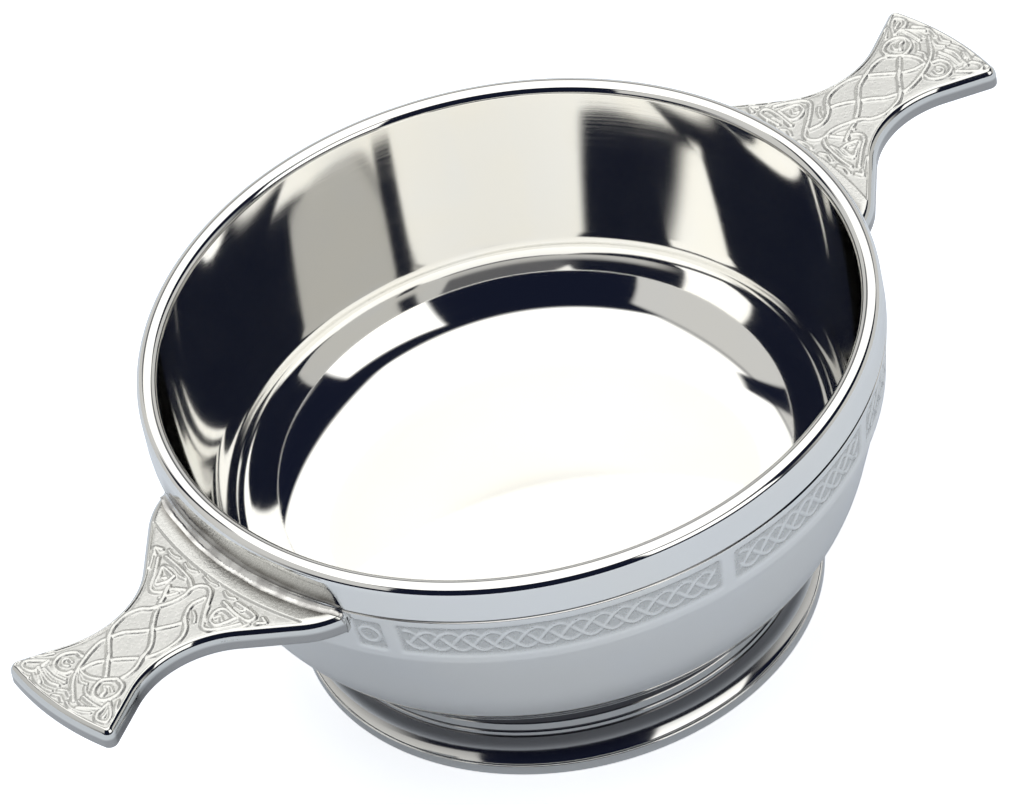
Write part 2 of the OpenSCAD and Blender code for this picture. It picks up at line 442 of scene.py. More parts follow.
def solder():
    """Dressed solder: smooth, with a few dull patches, and painted shade where the mesh carries it."""
    material, tree = new_material("solder")
    place = add_node(tree, "ShaderNodeTexCoord").outputs["Object"]
    patch = noise(tree, place, 420.0, 3.0)
    ripple = noise(tree, place, 900.0, 2.0)
    color = mix_color(tree, map_range(tree, patch, 0.4, 0.65, 0.0, 1.0), SOLDER_LIGHT, SOLDER_DULL)
    # Painted shade where the mesh carries it: the foot's solder ring under the bowl
    color = mix_color(tree, share_of(tree, "tarnish_and_painted_shade"), color, TARNISH_AND_SHADE_DARK)
    roughness = map_range(tree, patch, 0.35, 0.7, 0.14, 0.3)
    bump = add_node(tree, "ShaderNodeBump", {"Height": ripple, "Strength": 0.2, "Distance": 0.0002})
    finish_metal(tree, color, roughness, bump.outputs["Normal"])
    return material


# Bowl

def band_r(z):
    return RIM_R - BAND_TAPER * (GROOVE_Z - z) / BAND_H


def lug_geometry():
    """Centres and angles of the arcs in a lug's outline."""
    root, end = math.radians(LUG_ROOT_SPREAD), math.radians(LUG_END_SPREAD)
    side_at = np.array([LUG_WAIST_X, LUG_WAIST_W / 2 + LUG_SIDE_R])
    end_at = np.array([LUG_END_X - LUG_END_R, 0])
    # The rounding at the root slides along the straight side until it ends on the bowl
    root_out = np.array([math.sin(root), math.cos(root)])
    root_way = np.array([-math.cos(root), math.sin(root)])
    root_at = side_at - LUG_SIDE_R * root_out
    tip_to = math.radians(90 - LUG_ROOT_SPREAD + LUG_TIP_TURN)
    tip_start = root_at + LUG_TIP_R * (np.array([math.cos(tip_to), math.sin(tip_to)]) - root_out)
    b = tip_start @ root_way
    slide = -b - math.sqrt(b * b - tip_start @ tip_start + LUG_ROOT_R ** 2)
    tip_at = root_at - LUG_TIP_R * root_out + slide * root_way
    # The rounded corner touches the straight outer side and the bowed end
    flare_in = np.array([math.sin(end), -math.cos(end)])
    flare_way = np.array([math.cos(end), math.sin(end)])
    corner_from = side_at + (LUG_SIDE_R + LUG_CORNER_R) * flare_in - end_at
    b = corner_from @ flare_way
    c = corner_from @ corner_from - (LUG_END_R - LUG_CORNER_R) ** 2
    corner_at = corner_from + (math.sqrt(b * b - c) - b) * flare_way + end_at
    corner_turn = math.degrees(math.atan2(corner_at[1], corner_at[0] - end_at[0]))
    return side_at, end_at, tip_at, corner_at, corner_turn


LUG_SIDE_AT, LUG_END_AT, LUG_TIP_AT, LUG_CORNER_AT, LUG_CORNER_TURN = lug_geometry()
LUG_TIP = arc(LUG_TIP_AT, LUG_TIP_R, 0, 90 - LUG_ROOT_SPREAD + LUG_TIP_TURN, 1)[-1]
ROOT_HALF_ANGLE = math.degrees(math.atan2(LUG_TIP[1], LUG_TIP[0]))


def panel_spans():
    """Start and end angles of the sunk panels, without what the lugs' roots cover."""
    blocks = [(turn - ROOT_HALF_ANGLE, turn + ROOT_HALF_ANGLE) for turn in (-180, 0, 180, 360)]
    spans = []
    start = PANEL_START
    for angle in PANEL_ANGLES * PANEL_SETS:
        pieces = [(start, start + angle)]
        for low, high in blocks:
            parts = [part for a, b in pieces for part in ((a, min(b, low)), (max(a, high), b))]
            pieces = [(a, b) for a, b in parts if a < b]
        spans += pieces
        start += angle + PANEL_BAR
    return spans


# Raised plait in each panel: three fine strands that cross over and under, or a ring where there is no room
PLAIT_STEP = 9
PLAIT_REACH = 1.8
PLAIT_MARGIN = 0.9
PLAIT_END = 0.7
PLAIT_HALF_W = 0.4
PLAIT_RISE = 0.19
PLAIT_LIFT = 0.06
RING_R = 0.8 * PLAIT_REACH
# Share of the matt ground that is polished off a strand, and the heights between which it sets in
PLAIT_POLISH = 0.7
PLAIT_POLISH_RISE = (0.02, 0.14)


def strand_shape(distance):
    """Rounded section of a strand, from 1 on its middle to 0 at its edge."""
    return np.clip(1 - (distance / PLAIT_HALF_W) ** 2, 0, 1) ** 1.5


def panel_relief(s, t, length):
    """Height over the sunk ground at s along and t across from a panel's middle."""
    run = length - 2 * PLAIT_MARGIN
    if run < PLAIT_STEP / 2:
        return PLAIT_RISE * strand_shape(np.abs(np.hypot(s, t) - RING_R))
    turns = 2 * np.pi * max(1, round(run / PLAIT_STEP)) / run
    ends = smoothstep(0, PLAIT_END, run / 2 - np.abs(s))
    rise = np.zeros_like(s)
    for strand in range(3):
        phase = turns * s + strand * 2 * np.pi / 3
        slope = PLAIT_REACH * turns * np.cos(phase)
        distance = np.abs(t - PLAIT_REACH * np.sin(phase)) / np.sqrt(1 + slope ** 2)
        top = PLAIT_RISE + PLAIT_LIFT * np.sin(2 * phase)
        rise = np.maximum(rise, ends * strand_shape(distance) * top)
    return rise


def band_relief(angles, z):
    """Depth of the band's surface under its plain face, and the share of matt ground, round one ring."""
    depth, ground = np.zeros(len(angles)), np.zeros(len(angles))
    across = z - (PANEL_TOP_Z - PANEL_H / 2)
    for start, end in panel_spans():
        middle = math.radians((start + end) / 2)
        length = math.radians(end - start) * RIM_R
        along = (np.mod(angles - middle + np.pi, 2 * np.pi) - np.pi) * RIM_R
        if length < 2 * PANEL_CORNER_R:
            continue
        gap_s = np.abs(along) - length / 2 + PANEL_CORNER_R
        gap_t = abs(across) - PANEL_H / 2 + PANEL_CORNER_R
        outside = np.hypot(np.maximum(gap_s, 0), max(gap_t, 0)) + np.minimum(np.maximum(gap_s, gap_t), 0)
        sunk = smoothstep(0, PANEL_SLOPE_W, PANEL_CORNER_R - outside)
        rise = panel_relief(along, np.full(len(along), across), length)
        depth += sunk * (PANEL_DEPTH - np.minimum(rise, PANEL_DEPTH))
        ground += sunk * (1 - PLAIT_POLISH * smoothstep(*PLAIT_POLISH_RISE, rise))
    return depth, ground


def hollow_outline():
    """The inside from under the lip to the axis: its top point, the lean there, its points and normals."""
    radius = KNUCKLE_R - KNUCKLE_IN
    offset = math.sqrt((KNUCKLE_IN - KNUCKLE_T) ** 2 - (FLOOR_T - KNUCKLE_IN) ** 2)
    at = np.array([KNUCKLE_X + offset, BASE_Z + FLOOR_T + radius])
    top = np.array([RIM_R - LIP_T, HEIGHT - LIP_R])
    # Centre of the bowed wall: one radius from its top, and touching the curve into the floor from inside
    span = np.linalg.norm(top - at)
    along = (WALL_R ** 2 - (WALL_R - radius) ** 2 + span ** 2) / (2 * span)
    aside = math.sqrt(WALL_R ** 2 - along ** 2)
    way = unit(at - top)
    wall_at = top + along * way + aside * turn_right(way)
    start = math.atan2(wall_at[1] - top[1], top[0] - wall_at[0])
    end = math.atan2(wall_at[1] - at[1], at[0] - wall_at[0])
    points, normals = [], []
    wall_angles = np.linspace(start, end, WALL_STEPS + 1)
    knuckle_angles = np.linspace(end, math.pi / 2, KNUCKLE_STEPS + 1)
    for centre, size, angles in ((wall_at, WALL_R, wall_angles), (at, radius, knuckle_angles)):
        for a in angles[1:]:
            out = np.array([math.cos(a), -math.sin(a)])
            points.append(centre + size * out)
            normals.append(-out)
    points.append(np.array([0, at[1] - radius]))
    normals.append(np.array([0, 1]))
    return top, start, points, normals


def make_bowl(material):
    turning = Turning()
    side_foot_r = SIDE_TOP_R - (BAND_LOW_Z - BASE_Z) * SIDE_SLOPE
    band_start_z, band_end_z = BAND_LOW_Z + 3 * EDGE_R, GROOVE_Z - GROOVE_HALF_W - 2 * EDGE_R
    turning.add_outline(*rounded([
        (0, BASE_Z, 0),
        (side_foot_r, BASE_Z, KNUCKLE_R),
        (SIDE_TOP_R, BAND_LOW_Z, EDGE_R),
        (band_r(BAND_LOW_Z), BAND_LOW_Z, EDGE_R),
        (band_r(band_start_z), band_start_z, 0),
    ]))
    lower_total = turning.total

    # The band, cut finer than the rest for its panels
    count = TURN_COUNT * BAND_FINER
    angles = np.arange(count) * 2 * math.pi / count
    step = 2 * math.pi * RIM_R / count
    rows = math.ceil((band_end_z - band_start_z) / step)
    heights = np.linspace(band_start_z, band_end_z, rows + 1)[1:-1]
    reliefs = [band_relief(angles, z) for z in heights]
    radii = np.array([band_r(z) - depth for z, (depth, _) in zip(heights, reliefs)])
    grid = np.stack([radii * np.cos(angles), radii * np.sin(angles),
                     np.repeat(heights[:, None], count, 1)], axis=-1)
    along = np.roll(grid, -1, axis=1) - np.roll(grid, 1, axis=1)
    normals = np.cross(along, np.gradient(grid, axis=0))
    normals /= np.linalg.norm(normals, axis=2, keepdims=True)
    for points, directions in zip(grid, normals):
        turning.add(points, directions)
    band_total = turning.total

    # From the groove over the lip and down the hollow
    wall_top, wall_lean, hollow_points, hollow_normals = hollow_outline()
    lip_x = wall_top[0] + LIP_R * math.tan(wall_lean)
    lip_inner_r = LIP_FIT * (RIM_R - LIP_R - lip_x) / math.tan(math.pi / 4 - wall_lean / 2)
    turning.add_outline(*rounded([
        (band_r(band_end_z), band_end_z, 0),
        (band_r(GROOVE_Z - GROOVE_HALF_W), GROOVE_Z - GROOVE_HALF_W, EDGE_R),
        (RIM_R - GROOVE_DEPTH, GROOVE_Z, EDGE_R),
        (RIM_R, GROOVE_Z + GROOVE_HALF_W, EDGE_R),
        (RIM_R, HEIGHT, LIP_R),
        (lip_x, HEIGHT, lip_inner_r),
        (*wall_top, 0),
    ]))
    turning.add_outline(hollow_points, hollow_normals)
    ground = np.zeros(turning.total)
    ground[lower_total:band_total] = np.concatenate([share for _, share in reliefs])
    spots = np.vstack(turning.points)
    # A dark line painted in the groove all round
    tarnish_and_painted_shade = np.abs(spots[:, 2] - GROOVE_Z) < 0.8 * GROOVE_HALF_W
    # Over a lug's root, painted shade lies up the collar from the groove and fades out at the root's ends
    from_lug = np.degrees(np.arctan2(np.abs(spots[:, 1]), np.abs(spots[:, 0])))
    over_groove = (spots[:, 2] > GROOVE_Z) & (spots[:, 2] < GROOVE_Z + 3 * GROOVE_HALF_W)
    over_root = smoothstep(ROOT_HALF_ANGLE, ROOT_HALF_ANGLE - COLLAR_FADE_ANGLE, from_lug)
    tarnish_and_painted_shade = np.maximum(tarnish_and_painted_shade, COLLAR_PAINTED_SHADE * over_groove * over_root)
    tarnish_and_painted_shade *= np.linalg.norm(spots[:, :2], axis=1) > RIM_R - LIP_R
    piece = turning.make("bowl_body", [material], {"ground": ground, "tarnish_and_painted_shade": tarnish_and_painted_shade})
    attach(piece, BODY)
    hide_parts("bowl")


# Foot

def under_z(r):
    """Height of the bowl's underside over the table."""
    return BASE_Z if r < KNUCKLE_X else KNUCKLE_Z - math.sqrt(KNUCKLE_R ** 2 - (r - KNUCKLE_X) ** 2)


FOOT_EDGE_R = 0.25
# Turned lines round the neck: the height and half width of each
NECK_LINES = ((5.5, 0.22), (6.45, 0.25), (8.5, 0.75))
NECK_LINE_DEPTH = 0.14
NECK_LINE_R = 0.03
# Painted shade on the neck under the bowl, in those lines and on the ridges between them, and the heights
# between which it sets in below
NECK_LINE_PAINTED_SHADE = 1.15
RIDGE_PAINTED_SHADE = 0.25
NECK_SHADE_Z = (0.9, 4.2)
# Painted shade over the whole of the foot's solder ring, under the bowl
FOOT_SEAM_PAINTED_SHADE = 0.8
FOOT_FILLET_SAG = 0.1


def make_foot(material):
    turning = Turning()
    inner_top_z = under_z(FOOT_BORE_R) - SEAM_T
    inner_step_z = FOOT_EDGE_H + FOOT_COVE_R / 2
    middle = (FOOT_BORE_R + FOOT_R - FOOT_LAND_W) / 2
    neck_lines = []
    for z, half_w in NECK_LINES:
        corners = ((FOOT_NECK_R, half_w), (FOOT_NECK_R - NECK_LINE_DEPTH, half_w - NECK_LINE_DEPTH))
        neck_lines += [(r, z - rise, NECK_LINE_R) for r, rise in corners]
        neck_lines += [(r, z + rise, NECK_LINE_R) for r, rise in corners[::-1]]
    bend_z = FOOT_EDGE_H + (FOOT_R - FOOT_LEDGE_W - FOOT_NECK_R) / math.tan(math.radians(FOOT_FLARE))
    points, normals = rounded([
        (middle, inner_step_z / 2, 0),
        (FOOT_R - FOOT_LAND_W, 0, FOOT_EDGE_R),
        (FOOT_R, 0, FOOT_EDGE_R),
        (FOOT_R, FOOT_EDGE_H, FOOT_EDGE_R),
        (FOOT_R - FOOT_LEDGE_W, FOOT_EDGE_H, EDGE_R),
        (FOOT_NECK_R, bend_z, COVE_FIT * FOOT_COVE_R),
        *neck_lines,
        (FOOT_NECK_R, FOOT_TOP_Z, EDGE_R),
        (FOOT_BORE_R, inner_top_z, EDGE_R),
        (FOOT_BORE_R, inner_step_z, 2 * FOOT_EDGE_R),
        (middle, inner_step_z / 2, 0),
    ])
    turning.add_outline(points[:-1], normals[:-1])
    turning.close()
    spots = np.vstack(turning.points)
    from_axis = np.linalg.norm(spots[:, :2], axis=1)
    outside = from_axis > FOOT_NECK_R - 2 * NECK_LINE_DEPTH
    # Painted shade on the outside of the foot: darker up the neck towards the bowl, darkest in the turned
    # lines
    tarnish_and_painted_shade = outside * smoothstep(*NECK_SHADE_Z, spots[:, 2])
    in_line = outside & (from_axis < FOOT_NECK_R - NECK_LINE_DEPTH / 2)
    ridge = outside & ~in_line & (spots[:, 2] > NECK_LINES[0][0])
    tarnish_and_painted_shade = np.where(ridge, RIDGE_PAINTED_SHADE, np.where(in_line, NECK_LINE_PAINTED_SHADE, tarnish_and_painted_shade))
    piece = turning.make("foot_body", [material], {"tarnish_and_painted_shade": tarnish_and_painted_shade})
    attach(piece, BODY)
    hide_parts("foot_ring")


def make_foot_seam(material):
    """The solder ring, with a hollow fillet between the neck and the bowl."""
    fillet_r = FOOT_NECK_R + FOOT_FILLET_W
    out = np.array([fillet_r, under_z(fillet_r)])
    neck = np.array([FOOT_NECK_R, FOOT_TOP_Z])
    steps = np.linspace(0, 1, FILLET_STEPS + 1)
    bend = (out + neck) / 2 + np.array([-FOOT_FILLET_SAG, FOOT_FILLET_SAG])
    fillet = [(1 - t) ** 2 * neck + 2 * t * (1 - t) * bend + t ** 2 * out for t in steps]
    under = [np.array([r, under_z(r)]) for r in np.linspace(fillet_r, FOOT_BORE_R, FILLET_STEPS + 1)]
    loop = np.array(fillet + under[1:] + [np.array([FOOT_BORE_R, under_z(FOOT_BORE_R) - SEAM_T])])
    turning = Turning()
    ways = np.roll(loop, -1, axis=0) - np.roll(loop, 1, axis=0)
    normals = np.array([turn_right(unit(way)) for way in ways])
    turning.add_outline(loop, normals)
    turning.close()
    # The solder ring is painted dark all over as shade
    piece = turning.make("foot_solder", [material], {"tarnish_and_painted_shade": np.full(turning.total, FOOT_SEAM_PAINTED_SHADE)})
    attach(piece, BODY)
    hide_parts("seam_foot")


# Lugs

LUG_ROWS = 260
LUG_COLUMNS = 280
LUG_EDGE_R = 1.45
LUG_BORDER_W = 0.75
LUG_BORDER_SLOPE = 0.3
LUG_FIELD_DEPTH = 0.36
LUG_UNDER_R = 0.5
LUG_UNDER_STEPS = 6
# Steps along the arcs of a lug's outline
LUG_TIP_STEPS = 24
LUG_SIDE_STEPS = 48
LUG_CORNER_STEPS = 24
LUG_END_STEPS = 24
# Drop from the polished edge to the side, which is painted darker as shade, and the least height of a ring
# of the edge
LUG_POLISH_FADE = 0.4
LUG_EDGE_GAP = 0.05
# Where painted shade sets in on the root strip towards the bowl, and where it is full
LUG_ROOT_SHADE_R = (RIM_R + 2.4, RIM_R + 0.9)
STRAND_HALF_W = 0.5
STRAND_RISE = 0.34
STRAND_LIFT = 0.14
STRAND_LIFT_REACH = 0.7
CURL_HALF_W = 0.38
CURL_RISE = 0.27
# Buffing on the strands, with the heights between which it sets in, and what the root strip lacks of it
STRAND_BUFF = 0.35
STRAND_BUFF_RISE = (0.2, 0.4)
STRIP_DULL = 0.75
# Height of a strand at which the dull ground ends
LOW_RISE = 0.25

# Knotwork on a lug: the given points of each strand, x out from the bowl's axis and y across
STRANDS = (
    # Waist plait
    ((57.8, -4.2), (59.5, -3.2), (61, -2.5), (62.5, -1.5), (64, -0.2), (65.3, 1.2), (66.5, 2.3), (67.7, 2.9),
     (69, 3.3), (70.5, 3.9), (72.2, 4.0), (73.6, 3.6)),
    ((56.3, 1.3), (58, 0.9), (59.5, 1.4), (60.6, 2.3), (61.6, 3.6), (63, 4.4), (65, 4.6), (67, 4.2),
     (68.7, 3.2), (70.5, 1.3), (72, -0.2), (73.5, -1.2), (75, -1.5)),
    ((60.3, -1.9), (62, -2.8), (63, -3.9), (65, -4.6), (67.5, -4.2), (69, -3.2), (70.2, -1.9), (71.2, -0.7),
     (72.3, 0.3), (73.2, 1.2), (74, 2.0)),
    ((60.5, 2.6), (62, 2.0), (63.5, 1.0), (65.5, -0.6), (66.5, -1.6), (67.5, -2.5), (70, -3.4), (72, -3.2),
     (74, -2.6), (76, -1.7), (77.5, -0.6), (78.7, 0.8), (79.6, 2.0)),
    # Outer knot, upper half
    ((73.4, 3.6), (73.7, 5.0), (75, 5.7), (76.5, 5.5), (77.3, 4.6), (77.2, 3.2), (76.3, 2.4), (75, 2.1),
     (74.2, 2.6), (73.4, 3.6)),
    ((75.3, 3.2), (75.9, 4.0), (76.6, 4.2)),
    ((76.9, 6.0), (77.5, 7.0), (78.4, 8.1), (79.4, 8.4), (79.9, 7.2), (79.3, 6.4), (78.4, 6.2),
     (76.9, 6.0)),
    ((78.2, 6.0), (78.4, 4.4), (78.3, 2.6)),
    ((78.4, 5.9), (79.4, 4.4), (80.1, 3.4)),
    ((74.5, 2.3), (75.3, 0.9), (75.6, -0.6), (75.2, -2.0)),
    # Outer knot, lower half
    ((73.6, -3.4), (73.6, -4.4), (74.4, -5.3), (75.5, -5.7), (76.9, -5.2), (77.4, -4.0), (77.1, -2.7),
     (76.3, -2.3)),
    ((78.2, -1.5), (78.5, -3.4), (78.2, -5.5)),
    ((79.1, -1.8), (79.4, -3.4), (78.6, -6.3)),
    ((79.6, -5.2), (80.2, -4.2)),
    ((76.9, -6.2), (78.2, -7.9), (79.0, -8.7), (79.9, -8.0), (79.6, -6.6), (78.8, -6.3), (76.9, -6.2)),
    # Root knot, upper half
    ((56.5, 8.7), (58, 7.8), (59.6, 6.5), (60.0, 5.3), (59, 4.2), (57.3, 2.8), (56, 1.9), (54.9, 0.9),
     (54.7, -0.1), (55.4, -1.1), (56.5, -1.4), (57.5, -1.2), (59, -1.4), (60.3, -1.9)),
    ((56.2, 7.4), (56.0, 5.0), (57, 4.4), (58.5, 5.0), (58.7, 6.3), (57.5, 7.0), (56.2, 7.4)),
    ((54.2, 5.5), (54.2, 8.7), (54.9, 9.4), (55.6, 8.8), (55.6, 6.5), (55.2, 4.0)),
    ((53.9, 10.3), (54.3, 11.2), (55.0, 10.4)),
    # Root knot, lower half
    ((57, -2), (58, -3.5), (59.3, -4.2), (59.8, -5.2), (59.2, -6.2), (57.8, -7.2), (56.6, -8.2),
     (55.2, -9.4)),
    ((56.2, -5.0), (56.0, -7.4), (57.2, -6.8), (58.7, -5.8), (57.4, -5.0), (56.2, -5.0)),
    ((56, -1.6), (55.3, -2.8), (54.9, -4.4), (54.6, -6.4), (54.4, -8.6)),
    ((53.9, -10.2), (54.3, -11.1), (55.0, -10.3)),
)

# Fine curls that fill the corners
CURLS = (
    # Outer end, upper half
    ((80.3, 1.4), (80.7, 2.8), (80.4, 4.2), (79.7, 5.4)),
    ((75.9, 6.7), (76.9, 7.5), (77.7, 8.5)),
    ((77.9, 6.9), (78.6, 7.3), (79.1, 7.4)),
    ((77.6, 5.5), (77.7, 3.9), (77.6, 2.2), (76.9, 1.3)),
    ((79.0, 4.9), (79.3, 3.6), (79.2, 2.6)),
    ((75.2, 4.7), (74.9, 3.9), (75.3, 3.2)),
    # Outer end, middle
    ((76.1, -0.9), (76.7, 0.0), (76.5, 1.0)),
    ((79.3, 0.9), (79.0, -0.1), (79.5, -1.1)),
    ((80.6, 0.9), (80.2, 0.0), (80.6, -1.0)),
    # Outer end, lower half
    ((80.3, -1.7), (80.6, -3.0), (80.4, -4.6), (79.7, -6.0)),
    ((77.7, -1.9), (77.9, -3.6), (77.6, -5.4)),
    ((75.1, -3.6), (75.0, -4.5), (75.6, -4.8), (76.2, -4.2), (75.9, -3.4)),
    ((80.6, -6.1), (80.7, -7.4), (80.3, -8.6)),
    ((75.6, -6.7), (76.6, -7.5), (77.4, -8.4)),
    # Root, upper half
    ((53.8, 2.6), (54.2, 3.6), (53.8, 4.6)),
    ((57.0, 2.9), (58.2, 3.7), (59.1, 4.7)),
    ((53.9, 7.4), (54.8, 7.0), (54.9, 5.8)),
    ((57.6, 6.3), (57.2, 5.5), (57.8, 5.2)),
    ((55.8, 9.6), (56.9, 9.2), (57.9, 8.4)),
    ((58.9, 2.0), (59.4, 2.9), (60.1, 3.6)),
    ((53.7, 0.9), (53.9, -0.4), (53.7, -1.6)),
    # Root, lower half
    ((55.6, -3.4), (55.7, -4.7), (55.4, -6.2), (55.7, -7.6)),
    ((53.7, -3.2), (54.1, -4.4), (53.7, -5.6)),
    ((57.9, -2.3), (59.0, -2.9), (60.0, -3.5)),
    ((57.0, -5.7), (57.6, -6.1), (57.8, -5.5)),
    ((53.5, -7.0), (53.7, -8.2), (53.4, -9.3)),
    ((55.0, -10.6), (56.2, -9.6), (57.2, -8.9)),
)


def smooth_run(points, per_span=8):
    """A smooth curve through given points."""
    p = np.array(points, float)
    p = np.vstack([2 * p[0] - p[1], p, 2 * p[-1] - p[-2]])
    t = np.linspace(0, 1, per_span, endpoint=False)[:, None]
    spans = []
    for a, b, c, d in zip(p, p[1:], p[2:], p[3:]):
        square, cube = 2 * a - 5 * b + 4 * c - d, 3 * b - a - 3 * c + d
        spans.append(0.5 * (2 * b + (c - a) * t + square * t ** 2 + cube * t ** 3))
    return np.vstack(spans + [p[-2:-1]])


def crossings(one, two):
    """Places along two curves, as point numbers, where they cross."""
    a, r = one[:-1, None], np.diff(one, axis=0)[:, None]
    b, s = two[None, :-1], np.diff(two, axis=0)[None]
    area = r[..., 0] * s[..., 1] - r[..., 1] * s[..., 0]
    area = np.where(np.abs(area) < 1e-9, 1e-9, area)
    gap = b - a
    t = (gap[..., 0] * s[..., 1] - gap[..., 1] * s[..., 0]) / area
    u = (gap[..., 0] * r[..., 1] - gap[..., 1] * r[..., 0]) / area
    i, j = np.nonzero((t >= 0) & (t < 1) & (u >= 0) & (u < 1))
    return list(zip(i, j))


def woven_strands():
    """Each strand's curve, and how far it is lifted or pressed where strands cross over and under."""
    curves = [smooth_run(points) for points in STRANDS]
    lifts = [np.zeros(len(curve)) for curve in curves]
    passed = [0] * len(curves)
    for one in range(len(curves)):
        for two in range(one + 1, len(curves)):
            for i, j in crossings(curves[one], curves[two]):
                sign = 1 if passed[one] % 2 == 0 else -1
                passed[one] += 1
                passed[two] += 1
                for which, at, lift in ((one, i, sign), (two, j, -sign)):
                    near = np.linalg.norm(curves[which] - curves[which][at], axis=1)
                    lifts[which] += lift * np.exp(-(near / STRAND_LIFT_REACH) ** 2)
    return [(curve, np.clip(lift, -1, 1)) for curve, lift in zip(curves, lifts)]


def to_polyline(points, line):
    """Distance of each point from a line of many points, and the number of the nearest of those."""
    start, way = line[:-1], np.diff(line, axis=0)
    length = np.maximum((way ** 2).sum(1), 1e-12)
    best = np.full(len(points), np.inf)
    which = np.zeros(len(points), int)
    for k in range(len(start)):
        gap = points - start[k]
        t = np.clip(gap @ way[k] / length[k], 0, 1)
        distance = np.linalg.norm(gap - t[:, None] * way[k], axis=1)
        closer = distance < best
        best[closer] = distance[closer]
        which[closer] = k
    return best, which


def lug_side():
    """Half of a lug's outline, from the bowl to the middle of its end."""
    return np.vstack([
        arc(LUG_TIP_AT, LUG_TIP_R, 90 - LUG_ROOT_SPREAD + LUG_TIP_TURN, 90 - LUG_ROOT_SPREAD, LUG_TIP_STEPS),
        arc(LUG_SIDE_AT, LUG_SIDE_R, -90 - LUG_ROOT_SPREAD, -90 + LUG_END_SPREAD, LUG_SIDE_STEPS),
        arc(LUG_CORNER_AT, LUG_CORNER_R, 90 + LUG_END_SPREAD, LUG_CORNER_TURN, LUG_CORNER_STEPS),
        arc(LUG_END_AT, LUG_END_R, LUG_CORNER_TURN, 0, LUG_END_STEPS),
    ])


def resample(line, count):
    """Points at even steps along a line."""
    along = np.concatenate([[0], np.cumsum(np.linalg.norm(np.diff(line, axis=0), axis=1))])
    even = np.linspace(0, along[-1], count)
    return np.column_stack([np.interp(even, along, line[:, k]) for k in (0, 1)])


def lug_grid():
    """Plan of a lug's top as a grid of points: rows out from the bowl, columns across."""
    half = lug_side()
    middle_of_corner = LUG_TIP_STEPS + 1 + LUG_SIDE_STEPS + 1 + LUG_CORNER_STEPS // 2
    side = resample(half[:middle_of_corner + 1], LUG_ROWS)
    end_half = half[middle_of_corner:]
    end = resample(np.vstack([end_half * (1, -1), end_half[::-1][1:]]), LUG_COLUMNS)
    v = np.linspace(-1, 1, LUG_COLUMNS)
    angles = np.radians(v * ROOT_HALF_ANGLE)
    root = LUG_ROOT_R * np.column_stack([np.cos(angles), np.sin(angles)])
    t = np.linspace(0, 1, LUG_ROWS)[:, None, None]
    across = np.stack([np.repeat(side[:, :1], LUG_COLUMNS, 1), side[:, 1:] * v], axis=-1)
    root_bow = root - np.column_stack([np.full(LUG_COLUMNS, side[0, 0]), side[0, 1] * v])
    end_bow = end - np.column_stack([np.full(LUG_COLUMNS, side[-1, 0]), side[-1, 1] * v])
    return across + (1 - t) * root_bow + t * end_bow


def lug_heights(plan):
    """Height of each point of a lug's top under its highest face, and its shares of the finishes."""
    half = lug_side()
    edge = np.vstack([half, half[::-1] * (1, -1)])
    inset = to_polyline(plan, edge)[0]
    from_axis = np.linalg.norm(plan, axis=1)
    field = smoothstep(LUG_BORDER_W, LUG_BORDER_W + LUG_BORDER_SLOPE, inset)
    field *= smoothstep(LUG_ROOT_STRIP_R, LUG_ROOT_STRIP_R + LUG_BORDER_SLOPE, from_axis)
    ground = -LUG_FIELD_DEPTH * field
    rise = np.zeros(len(plan))
    runs = [(curve, STRAND_HALF_W, STRAND_RISE + STRAND_LIFT * lift) for curve, lift in woven_strands()]
    runs += [(curve, CURL_HALF_W, np.full(len(curve), CURL_RISE)) for curve in map(smooth_run, CURLS)]
    for curve, half_w, top in runs:
        low, high = curve.min(0) - half_w, curve.max(0) + half_w
        near = np.nonzero(((plan > low) & (plan < high)).all(1))[0]
        distance, which = to_polyline(plan[near], curve)
        shape = np.clip(1 - (distance / half_w) ** 2, 0, 1)
        rise[near] = np.maximum(rise[near], shape * top[which])
    height = ground + rise * field
    over = np.clip(LUG_EDGE_R - inset, 0, LUG_EDGE_R)
    height -= LUG_EDGE_R - np.sqrt(LUG_EDGE_R ** 2 - over ** 2)
    strip = 1 - smoothstep(LUG_ROOT_STRIP_R, LUG_ROOT_STRIP_R + LUG_BORDER_SLOPE, from_axis)
    strip *= smoothstep(LUG_BORDER_W, 2 * LUG_BORDER_W, inset)
    unbuffed = field * (1 - STRAND_BUFF * smoothstep(*STRAND_BUFF_RISE, rise))
    shares = {
        "buffed": (1 - unbuffed) * (1 - STRIP_DULL * strip),
        "low": field * (1 - smoothstep(0, LOW_RISE, rise)),
        "side": np.zeros(len(plan)),
        # Painted shade on the root strip, darker towards the bowl
        "tarnish_and_painted_shade": strip * smoothstep(*LUG_ROOT_SHADE_R, from_axis),
    }
    return np.minimum(height, 0), shares


